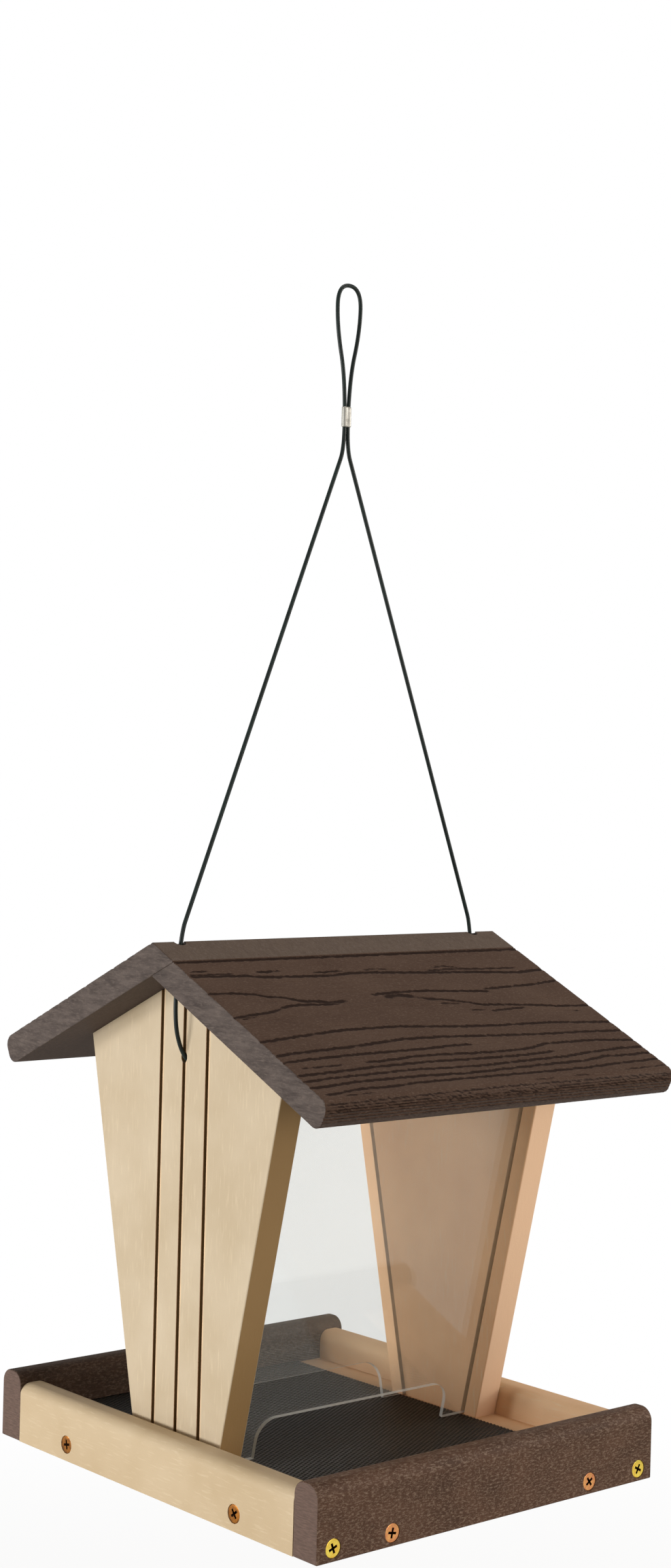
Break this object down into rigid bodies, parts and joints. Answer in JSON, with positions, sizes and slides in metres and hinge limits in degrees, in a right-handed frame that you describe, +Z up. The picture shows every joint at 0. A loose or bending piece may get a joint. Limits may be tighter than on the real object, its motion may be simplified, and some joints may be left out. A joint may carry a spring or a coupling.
{
  "type": "hopper bird feeder",
  "caption": "Hanging hopper bird feeder: gabled roof that lifts along its cable, grooved end panels, clear sliding panes with seed gates, and a railed tray with a screen floor.",
  "frame": {"origin": "inside the top of the hanging loop, where a support carries it", "axes": "+Z up along the hanging line, X along the ridge, -Y towards the front of the feeder"},
  "size_m": [0.2194, 0.2465, 0.574],
  "materials": {
    "tan_board": "matte recycled plastic board",
    "brown_board": "matte flecked recycled plastic board",
    "roof_board": "matte recycled plastic board embossed with wood grain",
    "clear_pane": "clear acrylic",
    "screen": "black coated diamond mesh",
    "screw": "yellow passivated",
    "cable": "dark coated wire cable",
    "crimp": "pressed sleeve"
  },
  "bodies": {
    "hopper": {"front_rail": "brown_board", "back_rail": "brown_board", "left_rail": "tan_board", "right_rail": "tan_board", "left_floor_board": "tan_board", "right_floor_board": "tan_board", "floor_screen": "screen", "left_end_panel": "tan_board", "right_end_panel": "tan_board", "front_rail_screws": "screw", "back_rail_screws": "screw", "left_rail_screws": "screw", "right_rail_screws": "screw", "left_panel_screws": "screw", "right_panel_screws": "screw", "left_cable_stop": "crimp", "right_cable_stop": "crimp", "cable_left_drop": "cable", "cable_right_drop": "cable", "cable_left_leg": "cable", "cable_right_leg": "cable", "cable_loop": "cable", "cable_ferrule": "crimp"},
    "roof": {"front_roof_slab": "roof_board", "back_roof_slab": "roof_board", "ridge_screws": "screw"},
    "front_window": {"front_pane": "clear_pane"},
    "back_window": {"back_pane": "clear_pane"}
  },
  "joints": [
    {"name": "roof_lift", "type": "slide", "parent": "hopper", "child": "roof", "axis": [0, 0, 1], "range_m": [0, 0.1], "deforming": ["cable_left_drop", "cable_right_drop", "cable_left_leg", "cable_right_leg"]},
    {"name": "front_pane_slide", "type": "slide", "parent": "hopper", "child": "front_window", "axis": [0, -0.2215, 0.9751], "range_m": [0, 0.006]},
    {"name": "back_pane_slide", "type": "slide", "parent": "hopper", "child": "back_window", "axis": [0, 0.2215, 0.9751], "range_m": [0, 0.006]}
  ]
}
